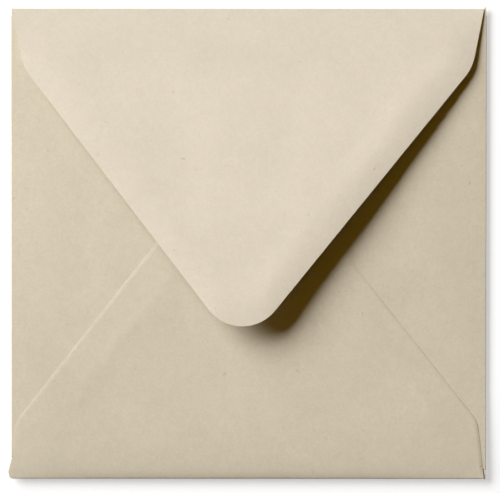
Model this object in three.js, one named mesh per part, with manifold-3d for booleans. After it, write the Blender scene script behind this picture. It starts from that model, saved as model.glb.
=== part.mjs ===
import * as THREE from 'three';
import { mergeVertices } from 'three/addons/utils/BufferGeometryUtils.js';
import Module from 'manifold-3d';

const wasm = await Module();
wasm.setup();

// A square greeting-card envelope, lying on its address side with the flaps on top.
// +X is to the right and +Y toward the top fold, seen from above. All sizes in millimetres.

// Body
const WIDTH = 156; // fold to fold
const HEIGHT = 154.4; // fold to fold
const PAPER = 0.16; // thickness of the sheet
const LAYER_GAP = 0.03; // air between two layers that lie on each other
const GUM = 0.04; // thickness of a dried gum film

// The empty back stands off the front like a flat pillow, pressed flat along its sides
const BULGE = 1.0; // at the middle
const ROLL_RISE = 0.45; // extra rise from the folds
const END_RUN = 1.6; // it comes within about this distance of the top and bottom folds
const SIDE_RUN = 20; // and within this of the side folds

// The two pointed flaps that close the back: the seal flap and the bottom flap
const SEAL = {
  rootLeft: 0.2, // from the body's side to the flap, at the fold
  rootRight: 0.9,
  insetLeft: 4.2, // from the body's side to the flap, at the shoulder
  insetRight: 4.75,
  drop: 19.2, // from the fold to the shoulder
  shoulderRadius: 15,
  meet: 112.35, // from the fold to where the straight edges would meet
  tipX: -2.4,
  tipRadius: 13.7,
};
const BOTTOM = {
  rootLeft: 0.3,
  rootRight: 0.7,
  insetLeft: 1.7,
  insetRight: 2.75,
  drop: 18.8,
  shoulderRadius: 9,
  meet: 114.7,
  tipX: -0.8,
  tipRadius: 15.2,
};

// Side flaps, under the bottom flap
const SIDE_MEET = 64; // from the side fold to where the edges would meet
const SIDE_TIP_RADIUS = 12;
const SIDE_TOP_INSET = 2.5; // from the top corner to the flap's end
const SIDE_BOTTOM_INSET_LEFT = 7; // from the bottom corner to the flap's end
const SIDE_BOTTOM_INSET_RIGHT = 3;
const SIDE_SHOULDER = 3.2; // how far in from the fold each slanted edge begins
const SIDE_SHOULDER_DROP = 1.2; // and how far from the flap's end
const SIDE_SHOULDER_RADIUS = 2;

// Small ear and nibs of the front panel that show past the fold ends
const EAR_OUT = 1.0; // ear at the lower left, sideways past the body
const EAR_HEIGHT = 2.2; // its widest place, above the bottom
const EAR_FOOT = 0.55; // how far it still reaches out at the bottom
const EAR_RADIUS = 1.5;
const EAR_FOOT_RADIUS = 1.0;
const NIB_UP = 0.8; // nib at the upper right, upward
const NIB_UP_IN = 0.22; // its point, in from the body's side
const NIB_DOWN = 0.45; // nib at the lower right, downward
const NIB_DOWN_IN = 0.2; // its point, in from the body's side
const NIB_WIDTH = 1.6; // of both nibs, along the body's side
const NIB_RADIUS = 0.2;

// Gum
const SEAM_GUM_WIDTH = 6;
const SEAM_GUM_INSET = 1.2; // from the bottom flap's edge
const SEAM_GUM_START = 6; // from the shoulder, along the edge
const SEAM_GUM_END = 8; // short of the side flap's rounded tip
const SEAL_GUM_FROM = 0.915; // share of the way from the fold's middle to the flap's edge
const SEAL_GUM_TO = 0.98;

// Seal flap
const TOP_FOLD_RADIUS = 0.27; // outside of the crease
const ROOT_GAP = 0.32; // from the crease's axis to the flap
const FLAP_EXTRA_RISE = 0.5; // its arch is this much more than the back's bulge
const CURL_DROP = 0.5; // how far the gummed margin curls down
const CURL_FROM = 0.85; // share of the way from the fold's middle to the flap's edge
const REST_LIFT_DEG = 3.6; // from lying along the back to its place at rest

// Fineness of the surfaces
const GRID_LINES = 26; // across the back each way, closer together near the folds
const GRID_MARGIN = 1; // the grid reaches this far past the folds
const ARC_STEP = THREE.MathUtils.degToRad(11);
const LINE_STEP = 11;
const FOLD_SEGMENTS = 8;
const SAME_POINT = 1e-4; // points closer than this are one
const SHARES = [0, 0.22, 0.42, 0.6, 0.74, CURL_FROM, 0.885, SEAL_GUM_FROM, 0.94, 0.96, SEAL_GUM_TO, 1];
const RING_SHARES = SHARES.sort((a, b) => a - b);

const halfWidth = WIDTH / 2;
const halfHeight = HEIGHT / 2;

// Heights of the layers over the front panel, before the bulge is added
const sideUnder = PAPER + LAYER_GAP;
const gumUnder = sideUnder + PAPER + LAYER_GAP;
const bottomUnder = gumUnder + GUM + LAYER_GAP;

// Outer radius of a crease that goes round from the front panel to a layer above it
const foldRadius = (under) => (under + PAPER) / 2;
const sideFold = foldRadius(sideUnder);
const bottomFold = foldRadius(bottomUnder);

const paper = () => new THREE.MeshStandardMaterial({ color: 0xded3bb, roughness: 0.9, metalness: 0 });
const gumFilm = () => new THREE.MeshStandardMaterial({ color: 0xd9cfae, roughness: 0.4, metalness: 0 });

// Share of the full bulge at a distance from one fold of a pair that lie 2 * half apart
function bulgeShare(distance, half) {
  return 1 - (1 - Math.min(Math.max(distance / half, 0), 1)) ** 2;
}

// Share of the rise from a fold that comes within about a run of it
function rollShare(distance, run) {
  return 1 - Math.exp(-Math.max(distance, 0) / run);
}

// How far the back stands off at a point
function pillow(x, y) {
  const fromSide = halfWidth - Math.abs(x);
  const fromEnd = halfHeight - Math.abs(y);
  return (
    BULGE * bulgeShare(fromSide, halfWidth) * bulgeShare(fromEnd, halfHeight) +
    ROLL_RISE * rollShare(fromSide, SIDE_RUN) * rollShare(fromEnd, END_RUN)
  );
}

// A closed sheet of even thickness over a grid of underside points.
// Along a row, then to the next row, the grid turns counter-clockwise seen from above.
function sheetOverGrid(rows, thickness) {
  const columns = rows[0].length;
  const positions = [];
  for (const lift of [0, thickness]) {
    for (const row of rows) for (const p of row) positions.push(p.x, p.y, p.z + lift);
  }
  const under = (i, j) => i * columns + j;
  const over = (i, j) => rows.length * columns + under(i, j);
  const faces = [];
  const quad = (a, b, c, d) => faces.push(a, b, c, a, c, d);
  for (let i = 0; i + 1 < rows.length; i += 1) {
    for (let j = 0; j + 1 < columns; j += 1) {
      quad(over(i, j), over(i + 1, j), over(i + 1, j + 1), over(i, j + 1));
      quad(under(i, j), under(i, j + 1), under(i + 1, j + 1), under(i + 1, j));
    }
    quad(under(i, 0), under(i + 1, 0), over(i + 1, 0), over(i, 0));
    const last = columns - 1;
    quad(under(i + 1, last), under(i, last), over(i, last), over(i + 1, last));
  }
  const end = rows.length - 1;
  for (let j = 0; j + 1 < columns; j += 1) {
    quad(under(0, j + 1), under(0, j), over(0, j), over(0, j + 1));
    quad(under(end, j), under(end, j + 1), over(end, j + 1), over(end, j));
  }
  return closedGeometry(positions, faces);
}

// Merges equal points and drops the faces that have no area left
function closedGeometry(positions, faces) {
  const raw = new THREE.BufferGeometry();
  raw.setAttribute('position', new THREE.Float32BufferAttribute(positions, 3));
  raw.setIndex(faces);
  const merged = mergeVertices(raw, SAME_POINT);
  const index = merged.getIndex().array;
  const kept = [];
  for (let i = 0; i < index.length; i += 3) {
    const [a, b, c] = [index[i], index[i + 1], index[i + 2]];
    if (a !== b && b !== c && c !== a) kept.push(a, b, c);
  }
  merged.setIndex(kept);
  merged.computeVertexNormals();
  return merged;
}

function toManifold(geometry) {
  const bare = geometry.clone();
  bare.deleteAttribute('normal');
  bare.deleteAttribute('uv');
  const merged = mergeVertices(bare, SAME_POINT);
  return new wasm.Manifold(
    new wasm.Mesh({
      numProp: 3,
      vertProperties: Float32Array.from(merged.getAttribute('position').array),
      triVerts: Uint32Array.from(merged.getIndex().array),
    }),
  );
}

function fromManifold(solid) {
  const mesh = solid.getMesh();
  return closedGeometry(Array.from(mesh.vertProperties), Array.from(mesh.triVerts));
}

// Points of an outline with rounded corners, each corner given as [x, y, radius]
function roundedOutline(corners, closed = true) {
  const points = [];
  corners.forEach(([x, y, radius], i) => {
    const corner = new THREE.Vector2(x, y);
    const isEnd = !closed && (i === 0 || i === corners.length - 1);
    if (!radius || isEnd) {
      points.push(corner);
      return;
    }
    const before = new THREE.Vector2(...corners.at(i - 1)).sub(corner).normalize();
    const after = new THREE.Vector2(...corners[(i + 1) % corners.length]).sub(corner).normalize();
    const half = Math.acos(before.dot(after)) / 2;
    const middle = before.clone().add(after).normalize();
    const centre = corner.clone().addScaledVector(middle, radius / Math.sin(half));
    const from = corner.clone().addScaledVector(before, radius / Math.tan(half)).sub(centre);
    const turn = Math.PI - 2 * half;
    const side = Math.sign(before.cross(after));
    const steps = Math.max(2, Math.ceil(turn / ARC_STEP));
    for (let k = 0; k <= steps; k += 1) {
      const spoke = from.clone().rotateAround(new THREE.Vector2(), (-side * turn * k) / steps);
      points.push(centre.clone().add(spoke));
    }
  });
  return points;
}

// Puts extra points on the long straight stretches
function subdivided(points) {
  const fine = [];
  for (let i = 0; i + 1 < points.length; i += 1) {
    const parts = Math.max(1, Math.round(points[i].distanceTo(points[i + 1]) / LINE_STEP));
    for (let k = 0; k < parts; k += 1) fine.push(points[i].clone().lerp(points[i + 1], k / parts));
  }
  fine.push(points.at(-1));
  return fine;
}

// Grid lines from one side to the other, closer together near both ends
function gridStops(half) {
  const turns = Array.from({ length: GRID_LINES + 1 }, (_, i) => (Math.PI * i) / GRID_LINES);
  const lines = turns.map((turn) => -half * Math.cos(turn));
  return [-half - GRID_MARGIN, ...lines, half + GRID_MARGIN];
}

// A sheet at a height over the front panel that follows the pillow and is cut to an outline
function backSheet(under, thickness, outline) {
  const rows = gridStops(halfWidth).map((x) =>
    gridStops(halfHeight).map((y) => new THREE.Vector3(x, y, under + pillow(x, y))),
  );
  const top = 2 * (BULGE + ROLL_RISE + bottomUnder + PAPER); // above every layer
  const punch = new THREE.ExtrudeGeometry(new THREE.Shape(outline), { depth: top, bevelEnabled: false });
  return fromManifold(toManifold(sheetOverGrid(rows, thickness)).intersect(toManifold(punch)));
}

// Corners of a pointed flap that hangs from a fold at y = 0 toward -y, from its left end to its right end
function pointedFlap(flap, root) {
  return [
    [-halfWidth + flap.rootLeft, -root, 0],
    [-halfWidth + flap.insetLeft, -flap.drop, flap.shoulderRadius],
    [flap.tipX, -flap.meet, flap.tipRadius],
    [halfWidth - flap.insetRight, -flap.drop, flap.shoulderRadius],
    [halfWidth - flap.rootRight, -root, 0],
  ];
}

function frontPanel() {
  const left = -halfWidth + sideFold;
  const right = halfWidth - sideFold;
  const top = halfHeight - TOP_FOLD_RADIUS;
  const bottom = -halfHeight + bottomFold;
  const outline = roundedOutline([
    [left, top, 0],
    [left, -halfHeight + SIDE_BOTTOM_INSET_LEFT, 0],
    [-halfWidth - EAR_OUT, -halfHeight + EAR_HEIGHT, EAR_RADIUS],
    [-halfWidth - EAR_FOOT, -halfHeight, EAR_FOOT_RADIUS],
    [-halfWidth + BOTTOM.rootLeft, -halfHeight, 0],
    [-halfWidth + BOTTOM.rootLeft, bottom, 0],
    [halfWidth - BOTTOM.rootRight, bottom, 0],
    [halfWidth - BOTTOM.rootRight, -halfHeight, 0],
    [halfWidth - NIB_DOWN_IN, -halfHeight - NIB_DOWN, NIB_RADIUS],
    [halfWidth, -halfHeight + NIB_WIDTH, 0],
    [right, -halfHeight + SIDE_BOTTOM_INSET_RIGHT, 0],
    [right, halfHeight - SIDE_TOP_INSET, 0],
    [halfWidth, halfHeight - NIB_WIDTH, 0],
    [halfWidth - NIB_UP_IN, halfHeight + NIB_UP, NIB_RADIUS],
    [halfWidth - SEAL.rootRight, halfHeight, 0],
    [halfWidth - SEAL.rootRight, top, 0],
  ]);
  return new THREE.ExtrudeGeometry(new THREE.Shape(outline), { depth: PAPER, bevelEnabled: false });
}

// side is -1 for the left flap and 1 for the right one
function sideBottomInset(side) {
  return side < 0 ? SIDE_BOTTOM_INSET_LEFT : SIDE_BOTTOM_INSET_RIGHT;
}

function sideFlap(side) {
  const root = side * (halfWidth - sideFold);
  const shoulder = side * (halfWidth - SIDE_SHOULDER);
  const low = -halfHeight + sideBottomInset(side);
  const high = halfHeight - SIDE_TOP_INSET;
  return roundedOutline([
    [root, low, 0],
    [shoulder, low + SIDE_SHOULDER_DROP, SIDE_SHOULDER_RADIUS],
    [side * (halfWidth - SIDE_MEET), 0, SIDE_TIP_RADIUS],
    [shoulder, high - SIDE_SHOULDER_DROP, SIDE_SHOULDER_RADIUS],
    [root, high, 0],
  ]);
}

function bottomFlapOutline() {
  const corners = pointedFlap(BOTTOM, bottomFold);
  return roundedOutline(corners.map(([x, y, radius]) => [x, -halfHeight - y, radius]));
}

// A strip along the bottom flap's edge, over the side flap
function seamGum(side) {
  const inset = side < 0 ? BOTTOM.insetLeft : BOTTOM.insetRight;
  const shoulder = new THREE.Vector2(side * (halfWidth - inset), -halfHeight + BOTTOM.drop);
  const meet = new THREE.Vector2(BOTTOM.tipX, -halfHeight + BOTTOM.meet);
  const along = meet.clone().sub(shoulder).normalize();
  const inward = new THREE.Vector2(-side * along.y, side * along.x);
  const sideTip = halfWidth - SIDE_MEET + SIDE_TIP_RADIUS;
  const length = (Math.abs(shoulder.x) - sideTip - SEAM_GUM_END) / Math.abs(along.x);
  const place = (a, b) => shoulder.clone().addScaledVector(along, a).addScaledVector(inward, b);
  const near = SEAM_GUM_INSET;
  const far = SEAM_GUM_INSET + SEAM_GUM_WIDTH;
  return [place(SEAM_GUM_START, near), place(length, near), place(length, far), place(SEAM_GUM_START, far)];
}

// A crease: half a ring with the paper's thickness, along +X from 0 to length, open toward -Y
function creaseStrip(length, radius) {
  const shape = new THREE.Shape();
  const inner = radius - PAPER;
  const at = (r, a) => new THREE.Vector2(r * Math.cos(a), r * Math.sin(a));
  const angles = Array.from({ length: FOLD_SEGMENTS + 1 }, (_, k) => Math.PI * (k / FOLD_SEGMENTS - 0.5));
  shape.setFromPoints([...angles.map((a) => at(radius, a)), ...angles.reverse().map((a) => at(inner, a))]);
  const strip = new THREE.ExtrudeGeometry(shape, { depth: length, bevelEnabled: false });
  // a quarter turn about each of two axes takes the shape's x to +Y, its y to +Z and the length to +X
  strip.rotateX(Math.PI / 2);
  strip.rotateZ(Math.PI / 2);
  strip.translate(0, 0, radius);
  return strip;
}

// Height of the seal flap's underside over the hinge axis, when the flap lies along the back.
// share is how far from the fold's middle to the edge, and edgeDistance is the edge's distance from the fold.
function flapUnderside(distance, share, edgeDistance) {
  const arch = (BULGE + FLAP_EXTRA_RISE) * bulgeShare(distance, halfHeight);
  const past = Math.max(0, (share - CURL_FROM) / (1 - CURL_FROM));
  const fade = THREE.MathUtils.smoothstep(edgeDistance, 0, SEAL.drop);
  return TOP_FOLD_RADIUS - PAPER + arch - CURL_DROP * fade * past ** 2;
}

// Rings of points between the middle of the fold and the seal flap's outline
function flapRings(shares, from, to, drop) {
  const outline = subdivided(roundedOutline(pointedFlap(SEAL, ROOT_GAP), false));
  const kept = outline.filter((p) => -p.y >= from && -p.y <= to);
  const middle = new THREE.Vector2(0, -ROOT_GAP);
  return shares.map((share) =>
    kept.map((edge) => {
      const p = middle.clone().lerp(edge, share);
      return new THREE.Vector3(p.x, p.y, flapUnderside(-p.y, share, -edge.y) - drop);
    }),
  );
}

function sealFlap() {
  return sheetOverGrid(flapRings(RING_SHARES, 0, SEAL.meet, 0), PAPER);
}

function sealGum() {
  const shares = RING_SHARES.filter((share) => share >= SEAL_GUM_FROM && share <= SEAL_GUM_TO);
  return sheetOverGrid(flapRings(shares, SEAL.drop, SEAL.meet, GUM + LAYER_GAP / 2), GUM);
}

const part = new THREE.Group();

function add(name, geometry, material, parent = part) {
  const mesh = new THREE.Mesh(geometry, material);
  mesh.name = name;
  parent.add(mesh);
  return mesh;
}

add('front_panel', frontPanel(), paper());
add('left_side_flap', backSheet(sideUnder, PAPER, sideFlap(-1)), paper());
add('right_side_flap', backSheet(sideUnder, PAPER, sideFlap(1)), paper());
add('seam_gum_left', backSheet(gumUnder, GUM, seamGum(-1)), gumFilm());
add('seam_gum_right', backSheet(gumUnder, GUM, seamGum(1)), gumFilm());
add('bottom_flap', backSheet(bottomUnder, PAPER, bottomFlapOutline()), paper());

const sideLength = (side) => HEIGHT - SIDE_TOP_INSET - sideBottomInset(side);
const foldLeft = add('fold_left', creaseStrip(sideLength(-1), sideFold), paper());
foldLeft.rotation.z = Math.PI / 2;
foldLeft.position.set(-halfWidth + sideFold, -halfHeight + sideBottomInset(-1), 0);
const foldRight = add('fold_right', creaseStrip(sideLength(1), sideFold), paper());
foldRight.rotation.z = -Math.PI / 2;
foldRight.position.set(halfWidth - sideFold, halfHeight - SIDE_TOP_INSET, 0);
const bottomLength = WIDTH - BOTTOM.rootLeft - BOTTOM.rootRight;
const foldBottom = add('fold_bottom', creaseStrip(bottomLength, bottomFold), paper());
foldBottom.rotation.z = Math.PI;
foldBottom.position.set(halfWidth - BOTTOM.rootRight, -halfHeight + bottomFold, 0);
const topLength = WIDTH - SEAL.rootLeft - SEAL.rootRight;
const foldTop = add('fold_top', creaseStrip(topLength, TOP_FOLD_RADIUS), paper());
foldTop.position.set(-halfWidth + SEAL.rootLeft, halfHeight - TOP_FOLD_RADIUS, 0);

// The seal flap turns about the axis of the top crease
const flap = new THREE.Group();
flap.position.set(0, halfHeight - TOP_FOLD_RADIUS, TOP_FOLD_RADIUS);
flap.rotation.x = -THREE.MathUtils.degToRad(REST_LIFT_DEG);
part.add(flap);
add('seal_flap', sealFlap(), paper(), flap);
add('seal_gum', sealGum(), gumFilm(), flap);

export default part;
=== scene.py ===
import math

import bmesh
import bpy
import numpy as np
from mathutils import Matrix, Vector


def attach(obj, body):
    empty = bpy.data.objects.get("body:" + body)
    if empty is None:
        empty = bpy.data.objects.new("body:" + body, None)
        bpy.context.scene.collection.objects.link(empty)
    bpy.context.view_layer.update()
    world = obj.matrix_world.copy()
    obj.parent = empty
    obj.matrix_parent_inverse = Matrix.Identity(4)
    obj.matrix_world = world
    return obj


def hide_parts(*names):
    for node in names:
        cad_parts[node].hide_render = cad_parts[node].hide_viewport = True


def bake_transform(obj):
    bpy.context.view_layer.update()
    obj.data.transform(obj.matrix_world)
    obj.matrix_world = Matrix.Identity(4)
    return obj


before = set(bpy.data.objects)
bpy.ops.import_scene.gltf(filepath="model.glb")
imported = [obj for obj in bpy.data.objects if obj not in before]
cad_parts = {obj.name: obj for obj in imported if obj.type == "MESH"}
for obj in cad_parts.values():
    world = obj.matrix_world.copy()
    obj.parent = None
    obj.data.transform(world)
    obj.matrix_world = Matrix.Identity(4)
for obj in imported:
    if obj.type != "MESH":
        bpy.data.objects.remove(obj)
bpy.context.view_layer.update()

# A square greeting-card envelope of cream paper, lying on its address side with the flap lifted.
# Shapes are worked out in millimetres and written to the meshes in metres.
MM = 0.001

# Body, as in the CAD solids
WIDTH = 156.0
HEIGHT = 154.4
PAPER = 0.16
LAYER_GAP = 0.03
GUM = 0.04
BULGE = 1.0
ROLL_RISE = 0.45
END_RUN = 1.6
SIDE_RUN = 20.0

# The two pointed flaps. Insets are from the body's side, drops and meets from the fold; shoulders
# and tips are radii, and the left shoulder is named where it has its own.
SEAL = dict(
    root_left=0.2, root_right=0.9, inset_left=4.2, inset_right=4.75,
    drop=19.2, shoulder=15, meet=112.35, tip_x=-2.4, tip=13.7,
)
BOTTOM = dict(
    root_left=0.3, root_right=0.7, inset_left=1.7, inset_right=2.75,
    drop=18.8, shoulder=9, left_shoulder=5, meet=114.7, tip_x=-0.8, tip=15.2,
)

# Side flaps
SIDE_MEET = 64.0
SIDE_TIP = 12.0
SIDE_TOP_INSET = 2.5
SIDE_BOTTOM_INSET = {"left": 7.0, "right": 3.0}
SIDE_SHOULDER = 3.2
SIDE_SHOULDER_DROP = 1.2
SIDE_SHOULDER_RADIUS = 2.0

# Ear and nibs of the front panel
EAR_OUT = 1.0
EAR_HEIGHT = 2.2
EAR_FOOT = 0.55
EAR_RADIUS = 1.5
EAR_FOOT_RADIUS = 1.0
NIB_UP = 0.8
NIB_UP_IN = 0.22
NIB_DOWN = 0.45
NIB_DOWN_IN = 0.2
NIB_WIDTH = 1.6
NIB_RADIUS = 0.2

# Gum. The seam film's borders waver by up to these to each side, as a gum wheel leaves them.
SEAM_GUM_WIDTH = 6.0
SEAM_GUM_INSET = 1.2
SEAM_GUM_START = 6.0
SEAM_GUM_END = 8.0
SEAM_GUM_WAVER_NEAR = 0.15
SEAM_GUM_WAVER_FAR = 0.2
SEAL_GUM_FROM = 0.915
SEAL_GUM_TO = 0.98

# Seal flap
TOP_FOLD = 0.27
ROOT_GAP = 0.32
FLAP_EXTRA_RISE = 0.5
CURL_DROP = 0.5
CURL_FROM = 0.85
REST_LIFT = math.radians(3.6)

# Relief that only the visual sheets carry. A pair is the distance where something sets in and the
# one where it is full.
BACK_WAVE = 0.16  # the back dips by up to this between its folds
BACK_WAVE_FADE = (6, 28)
FLAP_WAVE = 0.20  # the seal flap dips by up to this away from its margin
FLAP_WAVE_FADE_MARGIN = (5, 16)
FLAP_WAVE_FADE_FOLD = (4, 22)
FLAP_PRINT_SLOPE = 0.19  # the shut flap has pressed its outline into the back, deeper toward its tip
FLAP_PRINT_WIDTH = 1.1
FLAP_PRINT_TIP_WIDTH = 1.9
FLAP_PRINT_WIDEN = (25, 90)
FLAP_PRINT_FADE_SIDE = (1, 5)
FLAP_PRINT_FADE_DOWN = (SEAL["drop"] - 3, SEAL["drop"] + 12)
FLAP_PRINT_OUT = 0.3  # how far outside the flap the pressed ground still lies level
TIP_SOFTNESS = 7.7  # rounds the print's tip like the flap's
LEFT_CURL = 0.77  # the seal flap's left margin curls down this share as far as its right one
LEFT_CURL_TURN = (-0.75, -0.05)  # the change lies between these shares of facing right
SEAM_PRESS = 0.09  # the bottom flap's glued edge is pressed down this far
SEAM_PRESS_WIDTH = 11.0
SEAM_PRESS_FROM = 0.6
SEAM_PRESS_FULL_RIGHT = 3
SEAM_TAPER_LEFT = 0.045  # and its paper thins by this toward the cut
SEAM_TAPER_RIGHT = 0.075
SIDE_TAPER_RIGHT = 0.025  # and on the right by this much more below the shoulder
SEAM_TAPER_WIDTH = 0.9
SHOULDER_TURN = (BOTTOM["drop"] - 4, BOTTOM["drop"] + 1)
TAPER_FADE_RIGHT = (0.4, 2)
FILM_EDGE = 0.004  # least clearance of the gum film from the paper on both sides
TRACE = 0.06  # lumpy ridge where the glued overlap ends under the bottom flap
TRACE_WIDTH = 2.4
TRACE_SWAY = 1.1
TRACE_LUMPS = 0.35
TRACE_FADE_INSIDE = 8
TRACE_FADE_OUTSIDE = 4
TRACE_LINES = (  # each from a point to a point, with its strength
    ((-66.5, -67.5), (-25.5, -9.0), 1.0),
    ((64.0, -60.0), (27.0, -10.0), 0.7),
)
END_PRESS = 0.8  # the left side flap and its crease lie this share flatter at their lower cut
END_PRESS_RUN = 3.0
LIP_RISE = {"low": 0.12, "high": 0.19}  # the two right corners of the front panel curl up this far
LIP_CLEAR = 0.05
LIP_RUN = 0.25
LIP_END_RUN = 0.1
LIP_CUTS = 7
CREASE_UNEVENNESS = 0.02  # the creases are pressed in by up to this
CREASE_SWELLS = 160.0  # uneven places to a metre of crease

# Meshes: steps along a cut edge, rings out to the margin and within it, and, in metres, how near
# points are merged
SIDE_STEP = 0.8
SIDE_RINGS = (100, 14)
BOTTOM_STEP = 0.9
BOTTOM_RINGS = (95, 32)
SEAL_STEP = 0.85
SEAL_RINGS = (44, 48)
SEAL_GUM_RINGS = 14
SEAM_GUM_STEPS = 90
SEAM_GUM_ROWS = 9
MERGE_DISTANCE = 1e-7
FLAT_DISTANCE = 1e-8

HALF_WIDTH = WIDTH / 2
HALF_HEIGHT = HEIGHT / 2
SIDE_UNDER = PAPER + LAYER_GAP
GUM_UNDER = SIDE_UNDER + PAPER + LAYER_GAP
BOTTOM_UNDER = GUM_UNDER + GUM + LAYER_GAP
SIDE_FOLD = (SIDE_UNDER + PAPER) / 2
BOTTOM_FOLD = (BOTTOM_UNDER + PAPER) / 2


def smooth(value, start, end):
    """A soft step from 0 at start to 1 at end."""
    t = np.clip((value - start) / (end - start), 0, 1)
    return t * t * (3 - 2 * t)


def bulge_share(distance, half):
    """The bulge's share of its full height at a distance from a fold, full at the middle."""
    return 1 - (1 - np.clip(distance / half, 0, 1)) ** 2


def roll_share(distance, run):
    """The rolled fold's share of its full height at a distance from the fold."""
    return 1 - np.exp(-np.maximum(distance, 0) / run)


def waves(x, y, seed, shortest, longest):
    """Soft uneven swells between -1 and 1, from crossing sine waves of mixed lengths in millimetres."""
    draw = np.random.default_rng(seed)
    count = 12
    total = np.zeros_like(x)
    for _ in range(count):
        length = draw.uniform(shortest, longest)
        angle, phase = draw.uniform(0, math.tau, 2)
        total += np.sin((x * math.cos(angle) + y * math.sin(angle)) * math.tau / length + phase)
    return np.tanh(total / math.sqrt(count / 2))


def rounded(corners, arc_step=math.radians(4)):
    """An open line through corners given as (x, y, radius), its first and last points left sharp."""
    points = [np.array(corners[0][:2], float)]
    for i in range(1, len(corners) - 1):
        corner = np.array(corners[i][:2], float)
        radius = corners[i][2]
        before = np.array(corners[i - 1][:2]) - corner
        after = np.array(corners[i + 1][:2]) - corner
        before, after = before / np.linalg.norm(before), after / np.linalg.norm(after)
        half = math.acos(np.clip(before @ after, -1, 1)) / 2
        if not radius:
            points.append(corner)
            continue
        middle = (before + after) / np.linalg.norm(before + after)
        centre = corner + middle * radius / math.sin(half)
        spoke = corner + before * radius / math.tan(half) - centre
        turn = math.pi - 2 * half
        side = -np.sign(before[0] * after[1] - before[1] * after[0])
        steps = max(2, math.ceil(turn / arc_step))
        for k in range(steps + 1):
            a = side * turn * k / steps
            c, s = math.cos(a), math.sin(a)
            points.append(centre + (spoke[0] * c - spoke[1] * s, spoke[0] * s + spoke[1] * c))
    points.append(np.array(corners[-1][:2], float))
    return np.array(points)


def resampled(line, step):
    """The same line with points at even steps."""
    runs = np.linalg.norm(np.diff(line, axis=0), axis=1)
    along = np.concatenate([[0], np.cumsum(runs)])
    stops = np.linspace(0, along[-1], max(2, round(along[-1] / step)) + 1)
    return np.stack([np.interp(stops, along, line[:, k]) for k in (0, 1)], axis=1)


def new_object(name, vertices, faces, sharp_deg=30.0):
    """A smooth-shaded object at the origin from points in millimetres, its doubles merged."""
    mesh = bpy.data.meshes.new(name)
    mesh.from_pydata((np.asarray(vertices) * MM).tolist(), [], faces)
    piece = bpy.data.objects.new(name, mesh)
    bpy.context.scene.collection.objects.link(piece)
    finish_mesh(mesh, sharp_deg)
    return piece


def finish_mesh(mesh, sharp_deg=30.0):
    """Merges doubles, drops faces without area and shades smooth up to an angle."""
    work = bmesh.new()
    work.from_mesh(mesh)
    bmesh.ops.remove_doubles(work, verts=work.verts, dist=MERGE_DISTANCE)
    bmesh.ops.dissolve_degenerate(work, edges=work.edges, dist=FLAT_DISTANCE)
    work.to_mesh(mesh)
    work.free()
    mesh.shade_smooth()
    mesh.set_sharp_from_angle(angle=math.radians(sharp_deg))


def sheet_between(plan, underside, thickness):
    """A closed sheet over a grid of plan points, counter-clockwise along a row and then to the next row."""
    rows, columns = underside.shape
    low = np.dstack([plan, underside])
    high = np.dstack([plan, underside + thickness])
    vertices = np.concatenate([low.reshape(-1, 3), high.reshape(-1, 3)])
    under = np.arange(rows * columns).reshape(rows, columns)
    over = under + rows * columns
    faces = []

    def quads(a, b, c, d):
        faces.extend(np.stack([a, b, c, d], axis=-1).reshape(-1, 4).tolist())

    quads(over[:-1, :-1], over[1:, :-1], over[1:, 1:], over[:-1, 1:])
    quads(under[:-1, :-1], under[:-1, 1:], under[1:, 1:], under[1:, :-1])
    quads(under[:-1, 0], under[1:, 0], over[1:, 0], over[:-1, 0])
    quads(under[1:, -1], under[:-1, -1], over[:-1, -1], over[1:, -1])
    quads(under[0, 1:], under[0, :-1], over[0, :-1], over[0, 1:])
    quads(under[-1, :-1], under[-1, 1:], over[-1, 1:], over[-1, :-1])
    return vertices, faces


def rings(middle, edge, shares):
    """Plan points on rings between the middle of a fold and a flap's edge, and each point's distance
    from that edge."""
    middle = np.array(middle, float)
    spokes = edge - middle
    plan = middle + shares[:, None, None] * spokes[None]
    ahead = np.gradient(edge, axis=0)
    ahead /= np.linalg.norm(ahead, axis=1)[:, None]
    reach = np.abs(spokes[:, 0] * ahead[:, 1] - spokes[:, 1] * ahead[:, 0])
    return plan, (1 - shares[:, None]) * reach[None]


def ring_shares(coarse, fine, margin=0.85):
    """Shares from 0 to 1 that lie closer together near the edge."""
    return np.concatenate([np.linspace(0, margin, coarse, endpoint=False), np.linspace(margin, 1, fine)])


def pointed_flap(flap, root):
    """Corners of a pointed flap that hangs from a fold at y = 0 toward -y, from its left end."""
    left_shoulder = flap.get("left_shoulder", flap["shoulder"])
    return [
        (-HALF_WIDTH + flap["root_left"], -root, 0),
        (-HALF_WIDTH + flap["inset_left"], -flap["drop"], left_shoulder),
        (flap["tip_x"], -flap["meet"], flap["tip"]),
        (HALF_WIDTH - flap["inset_right"], -flap["drop"], flap["shoulder"]),
        (HALF_WIDTH - flap["root_right"], -root, 0),
    ]


def inside_flap(x, y):
    """How far a point lies inside the two slanted edges of the shut seal flap; below 0 outside them."""
    left, tip, right = (np.array(corner[:2]) for corner in pointed_flap(SEAL, 0)[1:4])
    total = 0
    for start, end in ((left, tip), (tip, right)):
        along = (end - start) / np.linalg.norm(end - start)
        depth = (x - start[0]) * -along[1] + (y - HALF_HEIGHT - start[1]) * along[0]
        total = total + np.exp(-depth / TIP_SOFTNESS)
    return -TIP_SOFTNESS * np.log(total)


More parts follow.
